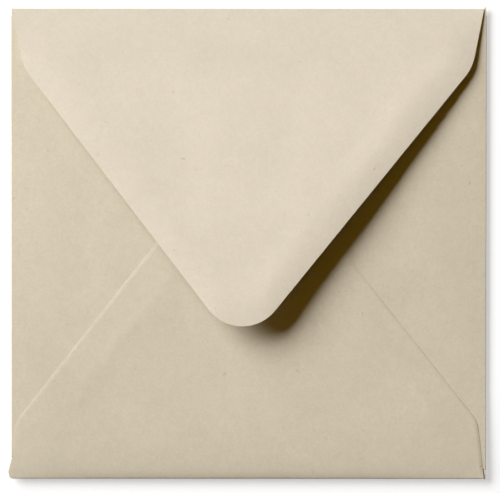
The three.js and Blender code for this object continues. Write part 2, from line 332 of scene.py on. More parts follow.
def back_height(x, y):
    """How far the empty back stands off at a point, with its faint dips and the shut flap's print."""
    side = HALF_WIDTH - np.abs(x)
    end = HALF_HEIGHT - np.abs(y)
    pillow = BULGE * bulge_share(side, HALF_WIDTH) * bulge_share(end, HALF_HEIGHT)
    roll = ROLL_RISE * roll_share(side, SIDE_RUN) * roll_share(end, END_RUN)
    from_fold = np.minimum(side, end)
    swells = waves(x, y, seed=11, shortest=26, longest=70)
    dips = BACK_WAVE * smooth(from_fold, *BACK_WAVE_FADE) * (1 + swells) / 2
    outside = np.maximum(0, -inside_flap(x, y) - FLAP_PRINT_OUT)
    down = HALF_HEIGHT - y
    wider = FLAP_PRINT_TIP_WIDTH - FLAP_PRINT_WIDTH
    width = FLAP_PRINT_WIDTH + wider * smooth(down, *FLAP_PRINT_WIDEN)
    pressed = smooth(from_fold, *FLAP_PRINT_FADE_SIDE) * smooth(down, *FLAP_PRINT_FADE_DOWN)
    flap_print = FLAP_PRINT_SLOPE * width * pressed * np.exp(-outside / width)
    return pillow + roll - dips - flap_print


def side_flap_edge(side):
    """The cut edge of a side flap from one end of its fold to the other, counter-clockwise."""
    sign = -1 if side == "left" else 1
    root = sign * (HALF_WIDTH - SIDE_FOLD)
    shoulder = sign * (HALF_WIDTH - SIDE_SHOULDER)
    low = -HALF_HEIGHT + SIDE_BOTTOM_INSET[side]
    high = HALF_HEIGHT - SIDE_TOP_INSET
    corners = [
        (root, low, 0),
        (shoulder, low + SIDE_SHOULDER_DROP, SIDE_SHOULDER_RADIUS),
        (sign * (HALF_WIDTH - SIDE_MEET), 0, SIDE_TIP),
        (shoulder, high - SIDE_SHOULDER_DROP, SIDE_SHOULDER_RADIUS),
        (root, high, 0),
    ]
    return rounded(corners if side == "left" else corners[::-1])


def side_flap(side):
    edge = resampled(side_flap_edge(side), SIDE_STEP)
    plan, _ = rings((edge[0] + edge[-1]) / 2, edge, ring_shares(*SIDE_RINGS))
    height = SIDE_UNDER + back_height(plan[..., 0], plan[..., 1])
    flap = new_object(f"{side}_side_flap_sheet", *sheet_between(plan, height, PAPER))
    return press_end(flap) if side == "left" else flap


def press_end(piece):
    """Lays the lower cut of the left side flap, or of its crease, nearly flat on the front panel."""
    low = -HALF_HEIGHT + SIDE_BOTTOM_INSET["left"]
    for vertex in piece.data.vertices:
        above = vertex.co.z / MM - PAPER
        if above > 0:
            flatter = END_PRESS * (1 - smooth(vertex.co.y / MM - low, 0, END_PRESS_RUN))
            vertex.co.z = (PAPER + above * (1 - flatter)) * MM
    return piece


def trace_relief(x, y):
    """A lumpy ridge where the glued overlap ends under the bottom flap."""
    relief = np.zeros_like(x)
    for start, end, strength in TRACE_LINES:
        start, end = np.array(start), np.array(end)
        length = np.linalg.norm(end - start)
        along = (end - start) / length
        across = np.array([-along[1], along[0]]) * np.sign(-start[0])
        dx, dy = x - start[0], y - start[1]
        run = dx * along[0] + dy * along[1]
        sway = TRACE_SWAY * waves(run, run * 0, seed=5, shortest=14, longest=40)
        off = dx * across[0] + dy * across[1] + sway
        begun = smooth(run, -TRACE_FADE_OUTSIDE, TRACE_FADE_INSIDE)
        ended = smooth(run, length - TRACE_FADE_INSIDE, length + TRACE_FADE_OUTSIDE)
        ends = begun * (1 - ended)
        lumps = 1 - TRACE_LUMPS + TRACE_LUMPS * waves(x, y, seed=23, shortest=5, longest=13)
        relief += strength * TRACE * ends * lumps * np.exp(-((off / TRACE_WIDTH) ** 2))
    return relief


def seam_press(rim):
    """How far the glued edge of the bottom flap lies under its plain course, by distance from the cut."""
    return SEAM_PRESS * (1 - smooth(rim, 0, SEAM_PRESS_WIDTH))


def bottom_flap():
    corners = [(x, -HALF_HEIGHT - y, radius) for x, y, radius in pointed_flap(BOTTOM, BOTTOM_FOLD)]
    edge = resampled(rounded(corners[::-1]), BOTTOM_STEP)
    plan, rim = rings((0, -HALF_HEIGHT + BOTTOM_FOLD), edge, ring_shares(*BOTTOM_RINGS))
    x, y = plan[..., 0], plan[..., 1]
    from_fold = y + HALF_HEIGHT
    above_shoulder = smooth(from_fold, *SHOULDER_TURN)
    left_taper = SEAM_TAPER_LEFT * above_shoulder
    right_taper = SEAM_TAPER_RIGHT + SIDE_TAPER_RIGHT * (1 - above_shoulder)
    right_taper = right_taper * smooth(from_fold, *TAPER_FADE_RIGHT)
    taper = np.where(x < 0, left_taper, right_taper) * (1 - smooth(rim, 0, SEAM_TAPER_WIDTH))
    press_full = np.where(x < 0, BOTTOM["drop"], SEAM_PRESS_FULL_RIGHT)
    press = seam_press(rim) * smooth(from_fold, SEAM_PRESS_FROM, press_full)
    height = BOTTOM_UNDER + back_height(x, y) + trace_relief(x, y) - press
    return new_object("bottom_flap_sheet", *sheet_between(plan, height, PAPER - taper))


def seam_gum(side):
    """A film of gum along the bottom flap's edge, between it and the side flap."""
    sign = -1 if side == "left" else 1
    shoulder = np.array([sign * (HALF_WIDTH - BOTTOM[f"inset_{side}"]), -HALF_HEIGHT + BOTTOM["drop"]])
    meet = np.array([BOTTOM["tip_x"], -HALF_HEIGHT + BOTTOM["meet"]])
    along = (meet - shoulder) / np.linalg.norm(meet - shoulder)
    inward = np.array([-sign * along[1], sign * along[0]])
    side_tip = HALF_WIDTH - SIDE_MEET + SIDE_TIP
    length = (abs(shoulder[0]) - side_tip - SEAM_GUM_END) / abs(along[0])
    run = np.linspace(SEAM_GUM_START, length, SEAM_GUM_STEPS)
    near_waver = waves(run, run * 0, seed=31, shortest=3, longest=12)
    far_waver = waves(run, run * 0, seed=37, shortest=3, longest=12)
    near = SEAM_GUM_INSET + SEAM_GUM_WAVER_NEAR * (1 + near_waver)
    far = near + SEAM_GUM_WIDTH - 2 * SEAM_GUM_WAVER_FAR + SEAM_GUM_WAVER_FAR * far_waver
    across = np.linspace(0, 1, SEAM_GUM_ROWS)
    offset = near[None] + across[:, None] * (far - near)[None]
    plan = shoulder + run[None, :, None] * along + offset[..., None] * inward
    if side == "left":
        plan = plan[:, ::-1]
    back = back_height(plan[..., 0], plan[..., 1])
    under = back + SIDE_UNDER + PAPER + FILM_EDGE
    over = back + np.minimum(GUM_UNDER + GUM, BOTTOM_UNDER - seam_press(offset) - FILM_EDGE)
    return new_object(f"seam_gum_{side}_film", *sheet_between(plan, under, over - under))


def flap_place(plan, height):
    """Takes points from along the back, about the hinge, to where the lifted flap holds them."""
    c, s = math.cos(-REST_LIFT), math.sin(-REST_LIFT)
    y = plan[..., 1] * c - height * s + HALF_HEIGHT - TOP_FOLD
    z = plan[..., 1] * s + height * c + TOP_FOLD
    return np.dstack([plan[..., 0], y]), z


def flap_underside(plan, shares, edge, rim):
    """Height of the seal flap's underside over the hinge axis, with its relief."""
    x, distance = plan[..., 0], -plan[..., 1]
    ahead = np.gradient(edge, axis=0)
    leftward = -ahead[:, 1] / np.linalg.norm(ahead, axis=1)
    side_share = LEFT_CURL + (1 - LEFT_CURL) * smooth(-leftward, *LEFT_CURL_TURN)
    fade = (side_share * smooth(-edge[:, 1], 0, SEAL["drop"]))[None]
    past = np.maximum(0, (shares - CURL_FROM) / (1 - CURL_FROM))[:, None]
    arch = (BULGE + FLAP_EXTRA_RISE) * bulge_share(distance, HALF_HEIGHT)
    swells = waves(x, distance, seed=47, shortest=28, longest=75)
    inside = smooth(rim, *FLAP_WAVE_FADE_MARGIN) * smooth(distance, *FLAP_WAVE_FADE_FOLD)
    dips = FLAP_WAVE * inside * (1 + swells) / 2
    return TOP_FOLD - PAPER + arch - CURL_DROP * fade * past**2 - dips


def flap_sheet(name, shares, edge, drop, thickness):
    """A closed sheet of the seal flap's form between two shares, a distance below the underside."""
    plan, rim = rings((0, -ROOT_GAP), edge, shares)
    height = flap_underside(plan, shares, edge, rim) - drop
    vertices, faces = sheet_between(plan, height, thickness)
    turned, level = flap_place(vertices[None, :, :2], vertices[None, :, 2])
    return new_object(name, np.dstack([turned, level])[0], faces)


def seal_edge():
    return resampled(rounded(pointed_flap(SEAL, ROOT_GAP)), SEAL_STEP)


def seal_flap():
    return flap_sheet("seal_flap_sheet", ring_shares(*SEAL_RINGS), seal_edge(), 0, PAPER)


def seal_gum():
    edge = seal_edge()
    kept = edge[-edge[:, 1] >= SEAL["drop"]]
    shares = np.linspace(SEAL_GUM_FROM, SEAL_GUM_TO, SEAL_GUM_RINGS)
    return flap_sheet("seal_gum_band", shares, kept, GUM + LAYER_GAP / 2, GUM)


# The front panel's two right corners: where each starts in x and in y, its way along y, and its rise
LIPS = (
    (HALF_WIDTH - BOTTOM["root_right"], -HALF_HEIGHT + SIDE_BOTTOM_INSET["right"], -1, LIP_RISE["low"]),
    (HALF_WIDTH - SEAL["root_right"], HALF_HEIGHT - SIDE_TOP_INSET, 1, LIP_RISE["high"]),
)


def lip_rise(x, y):
    """How far the front panel's right corners curl up at a point."""
    total = 0
    for root, end, toward, rise in LIPS:
        beside = smooth(x - root - LIP_CLEAR, 0, LIP_RUN)
        past = smooth((y - end) * toward - LIP_CLEAR, 0, LIP_END_RUN)
        total = total + rise * beside * past
    return total


def curl_corners(mesh):
    """Cuts the front panel into strips where its right corners curl, and lifts them."""
    work = bmesh.new()
    work.from_mesh(mesh)
    for root, end, toward, _ in LIPS:
        for step in np.linspace(0, 1, LIP_CUTS):
            beside = LIP_CLEAR + step * LIP_RUN
            past = LIP_CLEAR + step * LIP_END_RUN
            cuts = (((root + beside, 0, 0), (1, 0, 0)), ((0, end + toward * past, 0), (0, 1, 0)))
            for place, across in cuts:
                everything = list(work.verts) + list(work.edges) + list(work.faces)
                place = Vector(place) * MM
                bmesh.ops.bisect_plane(
                    work, geom=everything, dist=MERGE_DISTANCE, plane_co=place, plane_no=across
                )
    for vertex in work.verts:
        vertex.co.z += lip_rise(vertex.co.x / MM, vertex.co.y / MM) * MM
    work.to_mesh(mesh)
    work.free()
    finish_mesh(mesh, sharp_deg=5)


def front_panel():
    """The flat address side, with the ear and the two nibs that show past the fold ends."""
    left, right = -HALF_WIDTH + SIDE_FOLD, HALF_WIDTH - SIDE_FOLD
    top, bottom = HALF_HEIGHT - TOP_FOLD, -HALF_HEIGHT + BOTTOM_FOLD
    corners = [
        (0, top, 0),
        (left, top, 0),
        (left, -HALF_HEIGHT + SIDE_BOTTOM_INSET["left"], 0),
        (-HALF_WIDTH - EAR_OUT, -HALF_HEIGHT + EAR_HEIGHT, EAR_RADIUS),
        (-HALF_WIDTH - EAR_FOOT, -HALF_HEIGHT, EAR_FOOT_RADIUS),
        (-HALF_WIDTH + BOTTOM["root_left"], -HALF_HEIGHT, 0),
        (-HALF_WIDTH + BOTTOM["root_left"], bottom, 0),
        (HALF_WIDTH - BOTTOM["root_right"], bottom, 0),
        (HALF_WIDTH - BOTTOM["root_right"], -HALF_HEIGHT, 0),
        (HALF_WIDTH - NIB_DOWN_IN, -HALF_HEIGHT - NIB_DOWN, NIB_RADIUS),
        (HALF_WIDTH, -HALF_HEIGHT + NIB_WIDTH, 0),
        (right, -HALF_HEIGHT + SIDE_BOTTOM_INSET["right"], 0),
        (right, HALF_HEIGHT - SIDE_TOP_INSET, 0),
        (HALF_WIDTH, HALF_HEIGHT - NIB_WIDTH, 0),
        (HALF_WIDTH - NIB_UP_IN, HALF_HEIGHT + NIB_UP, NIB_RADIUS),
        (HALF_WIDTH - SEAL["root_right"], HALF_HEIGHT, 0),
        (HALF_WIDTH - SEAL["root_right"], top, 0),
    ]
    outline = rounded(corners + [corners[0]], arc_step=math.radians(11))[:-1]
    count = len(outline)
    vertices = [(x, y, z) for z in (0, PAPER) for x, y in outline]
    faces = [list(range(count))[::-1], list(range(count, 2 * count))]
    faces += [[i, (i + 1) % count, count + (i + 1) % count, count + i] for i in range(count)]
    panel = new_object("front_panel_sheet", vertices, faces)
    curl_corners(panel.data)
    return panel


def add_node(tree, kind, inputs=None, **settings):
    """A node with its settings, whose inputs are values or other nodes' outputs."""
    node = tree.nodes.new(kind)
    for key, value in settings.items():
        setattr(node, key, value)
    for key, value in (inputs or {}).items():
        if isinstance(value, bpy.types.NodeSocket):
            tree.links.new(value, node.inputs[key])
        else:
            node.inputs[key].default_value = value
    return node


def math_node(tree, operation, a, b=0.0, c=0.0):
    """The result of one operation on up to three numbers."""
    return add_node(tree, "ShaderNodeMath", {0: a, 1: b, 2: c}, operation=operation).outputs[0]


def vector_node(tree, operation, a, b=None, scale=None):
    """The result of one operation on vectors."""
    inputs = {0: a}
    if b is not None:
        inputs[1] = b
    if scale is not None:
        inputs["Scale"] = scale
    return add_node(tree, "ShaderNodeVectorMath", inputs, operation=operation).outputs[0]


def noise_node(tree, vector, scale, detail):
    """A noise texture, whose outputs are a plain value and a colour."""
    return add_node(tree, "ShaderNodeTexNoise", {"Vector": vector, "Scale": scale, "Detail": detail})


def mix_node(tree, share, first, second):
    """Two colours mixed; 6, 7 and 2 are the Mix node's colour sockets."""
    inputs = {"Factor": share, 6: first, 7: second}
    return add_node(tree, "ShaderNodeMix", inputs, data_type="RGBA").outputs[2]


def add_sockets(tree, inputs, outputs):
    """Named sockets of a node group, each a name, a type and for inputs a value."""
    for name, kind, value in inputs:
        socket = tree.interface.new_socket(name, in_out="INPUT", socket_type="NodeSocket" + kind)
        if value is not None:
            socket.default_value = value
    for name, kind in outputs:
        tree.interface.new_socket(name, in_out="OUTPUT", socket_type="NodeSocket" + kind)


# Creases: half a ring of paper along a fold

def crease_tree():
    """Geometry nodes that wrap a fine box round a fold, open toward -Y and lying on z = 0."""
    tree = bpy.data.node_groups.new("paper crease", "GeometryNodeTree")
    add_sockets(
        tree,
        [
            ("Length", "Float", 0.1), ("Outer Radius", "Float", 0.0002), ("Paper", "Float", 0.00016),
            ("Tab", "Float", 0.0), ("Rows Along", "Int", 200), ("Rows Around", "Int", 17),
            ("Unevenness", "Float", 0.0), ("Material", "Material", None),
        ],
        [("Geometry", "Geometry")],
    )
    given = tree.nodes.new("NodeGroupInput").outputs
    box = add_node(
        tree, "GeometryNodeMeshCube",
        {
            "Size": (1, 1, 1), "Vertices X": given["Rows Along"],
            "Vertices Y": given["Rows Around"], "Vertices Z": 2,
        },
    ).outputs["Mesh"]
    position = tree.nodes.new("GeometryNodeInputPosition").outputs[0]
    place = add_node(tree, "ShaderNodeSeparateXYZ", {0: position})
    along = math_node(tree, "MULTIPLY", math_node(tree, "ADD", place.outputs["X"], 0.5), given["Length"])
    depth = math_node(tree, "MULTIPLY", math_node(tree, "SUBTRACT", place.outputs["Z"], 0.5), given["Paper"])
    radius = math_node(tree, "ADD", depth, given["Outer Radius"])
    # along the paper's middle: half a turn, and then the straight tab
    middle = math_node(tree, "MULTIPLY_ADD", given["Paper"], -0.5, given["Outer Radius"])
    bend = math_node(tree, "MULTIPLY", middle, math.pi)
    whole = math_node(tree, "ADD", bend, given["Tab"])
    run = math_node(tree, "MULTIPLY", math_node(tree, "ADD", place.outputs["Y"], 0.5), whole)
    angle = math_node(tree, "DIVIDE", math_node(tree, "MINIMUM", run, bend), middle)
    angle = math_node(tree, "SUBTRACT", angle, math.pi / 2)
    straight = math_node(tree, "MAXIMUM", math_node(tree, "SUBTRACT", run, bend), 0.0)
    # the crease is pressed in a little here and there along its length
    swell = add_node(
        tree, "ShaderNodeTexNoise",
        {"W": math_node(tree, "MULTIPLY", along, CREASE_SWELLS), "Detail": 2.0},
        noise_dimensions="1D",
    ).outputs[0]
    pressed = math_node(tree, "MULTIPLY", swell, given["Unevenness"])
    smaller = math_node(tree, "SUBTRACT", radius, pressed)
    reach = math_node(tree, "MULTIPLY", smaller, math_node(tree, "COSINE", angle))
    outward = math_node(tree, "SUBTRACT", reach, straight)
    rise = math_node(tree, "MULTIPLY", radius, math_node(tree, "SINE", angle))
    upward = math_node(tree, "ADD", given["Outer Radius"], rise)
    moved = add_node(tree, "ShaderNodeCombineXYZ", {0: along, 1: outward, 2: upward}).outputs[0]
    wrapped = add_node(tree, "GeometryNodeSetPosition", {"Geometry": box, "Position": moved}).outputs[0]
    flipped = add_node(tree, "GeometryNodeFlipFaces", {"Mesh": wrapped}).outputs[0]
    real = add_node(tree, "GeometryNodeRealizeInstances", {"Geometry": flipped}).outputs[0]
    coating = {"Geometry": real, "Material": given["Material"]}
    coated = add_node(tree, "GeometryNodeSetMaterial", coating).outputs[0]
    tree.links.new(coated, tree.nodes.new("NodeGroupOutput").inputs[0])
    return tree


def crease(tree, name, material, length, radius, tab, place):
    """One crease as a plain mesh, its local +X along the fold and +Y outward, put in place."""
    holder = bpy.data.objects.new(name + "_maker", bpy.data.meshes.new(name + "_maker"))
    bpy.context.scene.collection.objects.link(holder)
    modifier = holder.modifiers.new("crease", "NODES")
    modifier.node_group = tree
    values = {
        "Length": length * MM, "Outer Radius": radius * MM, "Paper": PAPER * MM,
        "Tab": tab * MM, "Unevenness": CREASE_UNEVENNESS * MM, "Material": material,
    }
    for item in tree.interface.items_tree:
        if item.in_out == "INPUT" and item.name in values:
            modifier[item.identifier] = values[item.name]
    evaluated = holder.evaluated_get(bpy.context.evaluated_depsgraph_get())
    mesh = bpy.data.meshes.new_from_object(evaluated)
    bpy.data.objects.remove(holder)
    mesh.name = name
    mesh.transform(place)
    finish_mesh(mesh, sharp_deg=50)
    piece = bpy.data.objects.new(name, mesh)
    bpy.context.scene.collection.objects.link(piece)
    return piece


def fold_place(x, y, turn_deg):
    """Where a crease starts on the table, and how far its +X is turned."""
    return Matrix.Translation((x * MM, y * MM, 0)) @ Matrix.Rotation(math.radians(turn_deg), 4, "Z")


# Materials

FLAP_CREAM = (0.704, 0.652, 0.553, 1)
# painted shade: the body is the same paper as the seal flap, given a darker copy of its cream
BODY_CREAM_PAINTED_SHADE = (0.634, 0.581, 0.472, 1)
CLOUD_TINT = (0.70, 0.60, 0.40, 1)  # warmer clouds over the whole sheet
CLOUD_STRENGTH = 0.35
CLOUD_SPREAD = 1.3
CLOUD_LEVEL = 0.35
PAPER_ROUGHNESS = 0.88
PAPER_ROUGHNESS_SPREAD = 0.12
GUM_ROUGHNESS = 0.42
GUM_ROUGHNESS_SPREAD = 0.3

# Flecks, paler ones first: tint, strength, cell, length, width, bend, share of the cells that hold
# one, and shift. Cell, length, width and bend are in metres.
FLECKS = (
    ((0.80, 0.74, 0.60, 1), 0.30, 0.0035, 0.00035, 0.00020, 0.0, 0.5, 3.1),
    ((0.42, 0.34, 0.20, 1), 0.22, 0.0036, 0.00034, 0.00022, 0.0, 0.45, 7.7),
    ((0.38, 0.30, 0.17, 1), 0.25, 0.0120, 0.00110, 0.00012, 0.00025, 0.5, 12.3),
    ((0.26, 0.20, 0.11, 1), 0.42, 0.0150, 0.00036, 0.00026, 0.0, 0.6, 19.9),
    ((0.17, 0.12, 0.06, 1), 0.50, 0.0330, 0.00062, 0.00030, 0.0001, 0.5, 27.1),
)
SHAKE = 0.0003  # how far the flecks' outlines are shaken, in metres


def fleck_tree():
    """A scatter of flecks or short fibres over X and Y: at most one to a cell, each turned its own way."""
    tree = bpy.data.node_groups.new("scattered flecks", "ShaderNodeTree")
    add_sockets(
        tree,
        [
            ("Vector", "Vector", None), ("Cell", "Float", 0.01), ("Length", "Float", 0.0003),
            ("Width", "Float", 0.0002), ("Bend", "Float", 0.0), ("Kept", "Float", 0.5),
            ("Shift", "Float", 0.0),
        ],
        [("Mask", "Float")],
    )
    given = tree.nodes.new("NodeGroupInput").outputs
    cells = math_node(tree, "DIVIDE", 1.0, given["Cell"])
    shift = add_node(tree, "ShaderNodeCombineXYZ", {0: given["Shift"], 1: given["Shift"], 2: 0.0}).outputs[0]
    place = vector_node(tree, "ADD", vector_node(tree, "SCALE", given["Vector"], scale=cells), shift)
    spot = add_node(
        tree, "ShaderNodeTexVoronoi", {"Vector": place, "Scale": 1.0, "Randomness": 0.95},
        voronoi_dimensions="2D", feature="F1",
    ).outputs
    chance = add_node(tree, "ShaderNodeSeparateColor", {0: spot["Color"]}).outputs
    from_spot = vector_node(
        tree, "SCALE", vector_node(tree, "SUBTRACT", place, spot["Position"]), scale=given["Cell"]
    )
    turned = add_node(
        tree, "ShaderNodeVectorRotate",
        {"Vector": from_spot, "Angle": math_node(tree, "MULTIPLY", chance["Red"], math.tau)},
        rotation_type="Z_AXIS",
    ).outputs[0]
    local = add_node(tree, "ShaderNodeSeparateXYZ", {0: turned}).outputs
    # each fleck is from 0.45 to 1.35 times the given size
    size = math_node(tree, "MULTIPLY_ADD", chance["Green"], 0.9, 0.45)
    u = math_node(tree, "DIVIDE", local["X"], math_node(tree, "MULTIPLY", given["Length"], size))
    bent = math_node(tree, "MULTIPLY", math_node(tree, "MULTIPLY", u, u), given["Bend"])
    v = math_node(
        tree, "DIVIDE", math_node(tree, "SUBTRACT", local["Y"], bent),
        math_node(tree, "MULTIPLY", given["Width"], size),
    )
    reach = math_node(tree, "SQRT", math_node(tree, "MULTIPLY_ADD", u, u, math_node(tree, "MULTIPLY", v, v)))
    shape = add_node(
        tree, "ShaderNodeMapRange", {"Value": reach, "From Min": 1.15, "From Max": 0.45},
        interpolation_type="SMOOTHSTEP",
    ).outputs[0]
    kept = math_node(tree, "LESS_THAN", chance["Blue"], given["Kept"])
    mask = math_node(tree, "MULTIPLY", shape, kept)
    tree.links.new(mask, tree.nodes.new("NodeGroupOutput").inputs["Mask"])
    return tree


def paper_tree(flecks):
    """Cream paper with recycled flecks and painted shade: its colour, roughness and fine relief."""
    tree = bpy.data.node_groups.new("fleck paper", "ShaderNodeTree")
    add_sockets(
        tree,
        [
            ("Vector", "Vector", None), ("Colour", "Color", (0.73, 0.65, 0.5, 1)), ("Cloud", "Float", 0.02),
            ("Grain", "Float", 0.02), ("Flecks", "Float", 1.0), ("Shift", "Float", 0.0),
            ("Fold Y", "Float", 0.0), ("Fold Painted Shade", "Float", 0.05), ("Fold Reach", "Float", 0.01),
            ("Spot Place", "Vector", (0.0, 0.0, 0.0)), ("Spot Painted Shade", "Float", 0.0),
            ("Spot Reach", "Float", 0.05),
        ],
        [("Colour", "Color"), ("Roughness", "Float"), ("Height", "Float")],
    )
    given = tree.nodes.new("NodeGroupInput").outputs

    def noise(scale, detail, offset=0.0):
        vector = vector_node(tree, "ADD", given["Vector"], (offset, offset * 0.7, 0))
        inputs = {"Vector": vector, "Scale": scale, "Detail": detail, "Roughness": 0.55}
        return math_node(tree, "SUBTRACT", add_node(tree, "ShaderNodeTexNoise", inputs).outputs[0], 0.5)

    cloud = noise(scale=70, detail=1.6)
    coarse_grain = noise(scale=420, detail=2.0, offset=0.67)
    fine_grain = noise(scale=1300, detail=2.0, offset=0.31)
    grain = math_node(tree, "MULTIPLY_ADD", coarse_grain, 0.65, fine_grain)
    warmth = noise(scale=240, detail=3.0, offset=0.57)
    jitter = noise_node(tree, given["Vector"], scale=2200.0, detail=1.0).outputs["Color"]
    shake = vector_node(tree, "SUBTRACT", jitter, (0.5, 0.5, 0.5))
    shaken = vector_node(tree, "ADD", given["Vector"], vector_node(tree, "SCALE", shake, scale=SHAKE))

    def scatter(cell, length, width, bend, kept, shift):
        node = tree.nodes.new("ShaderNodeGroup")
        node.node_tree = flecks
        tree.links.new(shaken, node.inputs["Vector"])
        tree.links.new(math_node(tree, "ADD", given["Shift"], shift), node.inputs["Shift"])
        values = {"Cell": cell, "Length": length, "Width": width, "Bend": bend, "Kept": kept}
        for key, value in values.items():
            node.inputs[key].default_value = value
        return node.outputs["Mask"]

    shade = math_node(tree, "MULTIPLY_ADD", cloud, given["Cloud"], 1.0)
    shade = math_node(tree, "MULTIPLY_ADD", grain, given["Grain"], shade)
    # painted shade: the paper is darkened a little toward one fold and round one spot
    y = add_node(tree, "ShaderNodeSeparateXYZ", {0: given["Vector"]}).outputs["Y"]
    from_fold = math_node(tree, "ABSOLUTE", math_node(tree, "SUBTRACT", y, given["Fold Y"]))
    off_fold = math_node(tree, "DIVIDE", from_fold, given["Fold Reach"])
    near_fold = math_node(tree, "EXPONENT", math_node(tree, "MULTIPLY", off_fold, -1.0))
    from_spot = add_node(
        tree, "ShaderNodeVectorMath", {0: given["Vector"], 1: given["Spot Place"]}, operation="DISTANCE"
    ).outputs["Value"]
    off_spot = math_node(tree, "POWER", math_node(tree, "DIVIDE", from_spot, given["Spot Reach"]), 2.0)
    near_spot = math_node(tree, "EXPONENT", math_node(tree, "MULTIPLY", off_spot, -1.0))
    painted_shade = math_node(tree, "MULTIPLY", near_fold, given["Fold Painted Shade"])
    painted_shade = math_node(tree, "MULTIPLY_ADD", near_spot, given["Spot Painted Shade"], painted_shade)
    shade = math_node(tree, "MULTIPLY", shade, math_node(tree, "SUBTRACT", 1.0, painted_shade))
    colour = vector_node(tree, "SCALE", given["Colour"], scale=shade)

    def stain(colour, tint, amount, mask):
        share = math_node(tree, "MULTIPLY", math_node(tree, "MULTIPLY", mask, amount), given["Flecks"])
        return mix_node(tree, share, colour, tint)

    clouds = math_node(tree, "MULTIPLY_ADD", warmth, CLOUD_SPREAD, CLOUD_LEVEL)
    colour = stain(colour, CLOUD_TINT, CLOUD_STRENGTH, clouds)
    for tint, strength, *form in FLECKS:
        colour = stain(colour, tint, strength, scatter(*form))

    fibres = noise(scale=2400, detail=3.0, offset=0.83)
    height = math_node(tree, "MULTIPLY_ADD", grain, 0.7, fibres)
    roughness = math_node(tree, "MULTIPLY_ADD", grain, PAPER_ROUGHNESS_SPREAD, PAPER_ROUGHNESS)
    out = tree.nodes.new("NodeGroupOutput")
    tree.links.new(colour, out.inputs["Colour"])
    tree.links.new(roughness, out.inputs["Roughness"])
    tree.links.new(height, out.inputs["Height"])
    return tree


def gum_tree():
    """Dried envelope gum: a thin yellowish film with faint roller streaks and pinholes."""
    tree = bpy.data.node_groups.new("dried gum", "ShaderNodeTree")
    add_sockets(
        tree,
        [("Vector", "Vector", None), ("Colour", "Color", (0.69, 0.62, 0.42, 1)), ("Streaks", "Float", 0.06)],
        [("Colour", "Color"), ("Roughness", "Float"), ("Height", "Float")],
    )
    given = tree.nodes.new("NodeGroupInput").outputs
    drawn = vector_node(tree, "MULTIPLY", given["Vector"], (220.0, 900.0, 220.0))
    streak = noise_node(tree, drawn, scale=1.0, detail=3.0).outputs[0]
    pool = noise_node(tree, given["Vector"], scale=260.0, detail=2.0).outputs[0]
    cells = add_node(tree, "ShaderNodeTexVoronoi", {"Vector": given["Vector"], "Scale": 900.0})
    pinholes = cells.outputs["Distance"]
    uneven = math_node(tree, "SUBTRACT", math_node(tree, "ADD", streak, pool), 1.0)
    shade = math_node(tree, "MULTIPLY_ADD", uneven, given["Streaks"], 1.0)
    out = tree.nodes.new("NodeGroupOutput")
    tree.links.new(vector_node(tree, "SCALE", given["Colour"], scale=shade), out.inputs["Colour"])
    roughness = math_node(tree, "MULTIPLY_ADD", uneven, GUM_ROUGHNESS_SPREAD, GUM_ROUGHNESS)
    tree.links.new(roughness, out.inputs["Roughness"])
    holes = math_node(tree, "SMOOTH_MIN", math_node(tree, "MULTIPLY", pinholes, 2.0), 0.6, 0.2)
    tree.links.new(math_node(tree, "ADD", uneven, holes), out.inputs["Height"])
    return tree


def sheet_material(name, group, values, relief_mm, specular):
    """A material whose colour, roughness and relief come from one of the groups above."""
    material = bpy.data.materials.new(name)
    material.use_nodes = True
    tree = material.node_tree
    shader = tree.nodes["Principled BSDF"]
    shader.inputs["Specular IOR Level"].default_value = specular
    surface = tree.nodes.new("ShaderNodeGroup")
    surface.node_tree = group
    for key, value in values.items():
        surface.inputs[key].default_value = value
    place = tree.nodes.new("ShaderNodeTexCoord").outputs["Object"]
    tree.links.new(place, surface.inputs["Vector"])
    tree.links.new(surface.outputs["Colour"], shader.inputs["Base Color"])
    tree.links.new(surface.outputs["Roughness"], shader.inputs["Roughness"])
    bump = add_node(tree, "ShaderNodeBump", {"Height": surface.outputs["Height"], "Distance": relief_mm * MM})
    tree.links.new(bump.outputs[0], shader.inputs["Normal"])
    return material


def paper_material(name, group, colour, grain, shift, fold, spot):
    """Cream paper with painted shade near a fold, given as y, shade and reach, and round a spot, given as x,
    y, shade and reach."""
    fold_y, fold_painted_shade, fold_reach = fold
    spot_x, spot_y, spot_painted_shade, spot_reach = spot
    values = {
        "Colour": colour, "Cloud": 0.085, "Grain": grain, "Flecks": 0.5, "Shift": shift,
        "Fold Y": fold_y * MM, "Fold Painted Shade": fold_painted_shade, "Fold Reach": fold_reach * MM,
        "Spot Place": (spot_x * MM, spot_y * MM, 0), "Spot Painted Shade": spot_painted_shade,
        "Spot Reach": spot_reach * MM,
    }
    return sheet_material(name, group, values, relief_mm=0.006, specular=0.2)


paper_group = paper_tree(fleck_tree())
# painted shade on the body: darker toward the bottom fold and round its lower left corner
back_paper = paper_material(
    "cream paper of the body with painted shade", paper_group, BODY_CREAM_PAINTED_SHADE, grain=0.20, shift=0.0,
    fold=(-HALF_HEIGHT, 0.10, 8), spot=(-80, -50, 0.075, 48),
)
# painted shade on the seal flap: darker toward the top fold and round one spot
flap_paper = paper_material(
    "cream paper of the seal flap", paper_group, FLAP_CREAM, grain=0.145, shift=41.0,
    fold=(HALF_HEIGHT, 0.07, 45), spot=(-45, 25, 0.025, 38),
)
gum_values = {"Colour": (0.69, 0.62, 0.43, 1), "Streaks": 0.10}
gum_film = sheet_material("dried gum film", gum_tree(), gum_values, relief_mm=0.02, specular=0.5)

# Pieces, each in place of its CAD node
crease_nodes = crease_tree()
side_length = {side: HEIGHT - SIDE_TOP_INSET - SIDE_BOTTOM_INSET[side] for side in ("left", "right")}
bottom_length = WIDTH - BOTTOM["root_left"] - BOTTOM["root_right"]
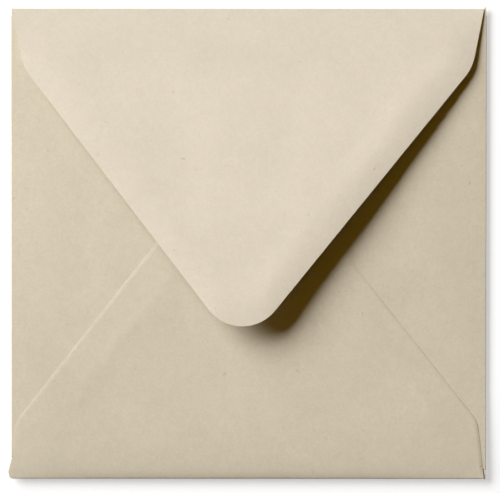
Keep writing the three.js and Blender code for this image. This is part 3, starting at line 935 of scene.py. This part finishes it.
# each crease's length, outer radius and place
creases = {
    "fold_left": (
        side_length["left"], SIDE_FOLD,
        fold_place(-HALF_WIDTH + SIDE_FOLD, -HALF_HEIGHT + SIDE_BOTTOM_INSET["left"], 90),
    ),
    "fold_right": (
        side_length["right"], SIDE_FOLD,
        fold_place(HALF_WIDTH - SIDE_FOLD, HALF_HEIGHT - SIDE_TOP_INSET, -90),
    ),
    "fold_bottom": (
        bottom_length, BOTTOM_FOLD,
        fold_place(HALF_WIDTH - BOTTOM["root_right"], -HALF_HEIGHT + BOTTOM_FOLD, 180),
    ),
}


def put(piece, node, body, material):
    """Gives a piece its material and its place among the CAD nodes; a piece given no body is left unattached.
    """
    piece.data.materials.clear()
    piece.data.materials.append(material)
    if body:
        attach(piece, body)
    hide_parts(node)


put(front_panel(), "front_panel", "pocket", back_paper)
for side in ("left", "right"):
    put(side_flap(side), f"{side}_side_flap", "pocket", back_paper)
    put(seam_gum(side), f"seam_gum_{side}", "pocket", gum_film)
put(bottom_flap(), "bottom_flap", "pocket", back_paper)
for node, (length, radius, place) in creases.items():
    piece = crease(crease_nodes, node + "_crease", back_paper, length, radius, 0.0, place)
    if node == "fold_left":
        press_end(piece)
    put(piece, node, "pocket", back_paper)
put(seal_flap(), "seal_flap", "closing_flap", flap_paper)
put(seal_gum(), "seal_gum", "closing_flap", gum_film)

# The top crease, whose tab reaches toward the flap, is given no body and its place is baked into its mesh
top_length = WIDTH - SEAL["root_left"] - SEAL["root_right"]
top_place = fold_place(-HALF_WIDTH + SEAL["root_left"], HALF_HEIGHT - TOP_FOLD, 0)
top_crease = crease(crease_nodes, "fold_top_crease", flap_paper, top_length, TOP_FOLD, ROOT_GAP, top_place)
put(top_crease, "fold_top", None, flap_paper)
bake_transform(top_crease)

# Floor, in metres: white to the eye, and it keeps the object's shadow
FLOOR_HALF = 3.0
FLOOR_DROP = 0.00085
FLOOR_FALL = 0.00065  # how much lower the table lies from the envelope's bottom edge on, toward -Y
FLOOR_FALL_FROM = -0.05
FLOOR_FALL_TO = -0.0762
FLOOR_GLOW = 0.56
FLOOR_FAR_GLOW = 1.0  # far from the envelope, so that low views see no grey horizon
FLOOR_NEAR = 0.13
FLOOR_FAR = 0.8
FLOOR_TINT = (0.97, 0.99, 1, 1)
FLOOR_GREY = 0.50


def seen_directly(tree):
    """1 for rays that show the background: from the camera, a gloss or a see-through surface."""
    path = tree.nodes.new("ShaderNodeLightPath").outputs
    seen = math_node(tree, "MAXIMUM", path["Is Camera Ray"], path["Is Glossy Ray"])
    return math_node(tree, "MAXIMUM", seen, path["Is Transmission Ray"])


def floor_material():
    """A matt grey that glows for the camera, so that it shows white."""
    material = bpy.data.materials.new("white table")
    material.use_nodes = True
    tree = material.node_tree
    tree.nodes.clear()
    grey = (FLOOR_GREY, FLOOR_GREY, FLOOR_GREY, 1)
    matt = add_node(tree, "ShaderNodeBsdfDiffuse", {"Color": grey}).outputs[0]
    place = tree.nodes.new("ShaderNodeTexCoord").outputs["Object"]
    from_middle = add_node(tree, "ShaderNodeVectorMath", {0: place}, operation="LENGTH").outputs["Value"]
    level = add_node(
        tree, "ShaderNodeMapRange",
        {
            "Value": from_middle, "From Min": FLOOR_NEAR, "From Max": FLOOR_FAR,
            "To Min": FLOOR_GLOW, "To Max": FLOOR_FAR_GLOW,
        },
        interpolation_type="SMOOTHSTEP",
    ).outputs[0]
    strength = math_node(tree, "MULTIPLY", seen_directly(tree), level)
    glow = add_node(tree, "ShaderNodeEmission", {"Color": FLOOR_TINT, "Strength": strength}).outputs[0]
    both = add_node(tree, "ShaderNodeAddShader", {0: matt, 1: glow}).outputs[0]
    tree.links.new(both, tree.nodes.new("ShaderNodeOutputMaterial").inputs["Surface"])
    return material


level = -FLOOR_DROP
low = level - FLOOR_FALL
floor_rows = ((-FLOOR_HALF, low), (FLOOR_FALL_TO, low), (FLOOR_FALL_FROM, level), (FLOOR_HALF, level))
floor_points = [(x * FLOOR_HALF, y, z) for y, z in floor_rows for x in (-1, 1)]
floor_faces = [(i, i + 1, i + 3, i + 2) for i in range(0, len(floor_points) - 2, 2)]
floor_mesh = bpy.data.meshes.new("table_top")
floor_mesh.from_pydata(floor_points, [], floor_faces)
floor = bpy.data.objects.new("table_top", floor_mesh)
bpy.context.scene.collection.objects.link(floor)
floor_mesh.materials.append(floor_material())

# Light, in metres: one wide soft lamp low at the upper left, and a little warm light from all round
KEY_TOWARD = Vector((-1.71, 1.19, 1.0)).normalized()
KEY_DISTANCE = 4.0
KEY_WIDE = 4.0
KEY_HIGH = 1.95
KEY_SHARE = 1.03
FILL = (0.089, 0.049, 0.0, 1)

lamp = bpy.data.lights.new("key", "AREA")
lamp.shape = "ELLIPSE"
lamp.size = KEY_WIDE
lamp.size_y = KEY_HIGH
# at a share of 1, a level colour under the lamp's middle renders about as it is written
lamp.energy = KEY_SHARE * math.pi**2 * KEY_DISTANCE**2 / KEY_TOWARD.z
key = bpy.data.objects.new("key", lamp)
key.location = KEY_TOWARD * KEY_DISTANCE
key.rotation_euler = KEY_TOWARD.to_track_quat("Z", "Y").to_euler()
key.visible_camera = False
bpy.context.scene.collection.objects.link(key)

world = bpy.data.worlds.new("plain room")
bpy.context.scene.world = world
world.use_nodes = True
sky = world.node_tree
sky.nodes.clear()
room = mix_node(sky, seen_directly(sky), FILL, (1, 1, 1, 1))
background = add_node(sky, "ShaderNodeBackground", {"Color": room, "Strength": 1.0}).outputs[0]
sky.links.new(background, sky.nodes.new("ShaderNodeOutputWorld").inputs["Surface"])

# Camera, in metres: almost straight above, a touch toward the top fold
CAMERA_DISTANCE = 0.70
CAMERA_TILT = math.radians(0.7)
CAMERA_ROLL = math.radians(0.03)
VIEW_WIDTH = 0.16422
VIEW_MIDDLE = Vector((0.00042, -0.00085, 0.0003))

lens = bpy.data.cameras.new("camera")
lens.sensor_width = 36.0
lens.lens = lens.sensor_width * CAMERA_DISTANCE / VIEW_WIDTH
camera = bpy.data.objects.new("camera", lens)
turn = Matrix.Rotation(-CAMERA_TILT, 4, "X") @ Matrix.Rotation(CAMERA_ROLL, 4, "Z")
camera.matrix_world = Matrix.Translation(VIEW_MIDDLE) @ turn @ Matrix.Translation((0, 0, CAMERA_DISTANCE))
bpy.context.scene.collection.objects.link(camera)
bpy.context.scene.camera = camera
bpy.context.scene.view_settings.view_transform = "Standard"
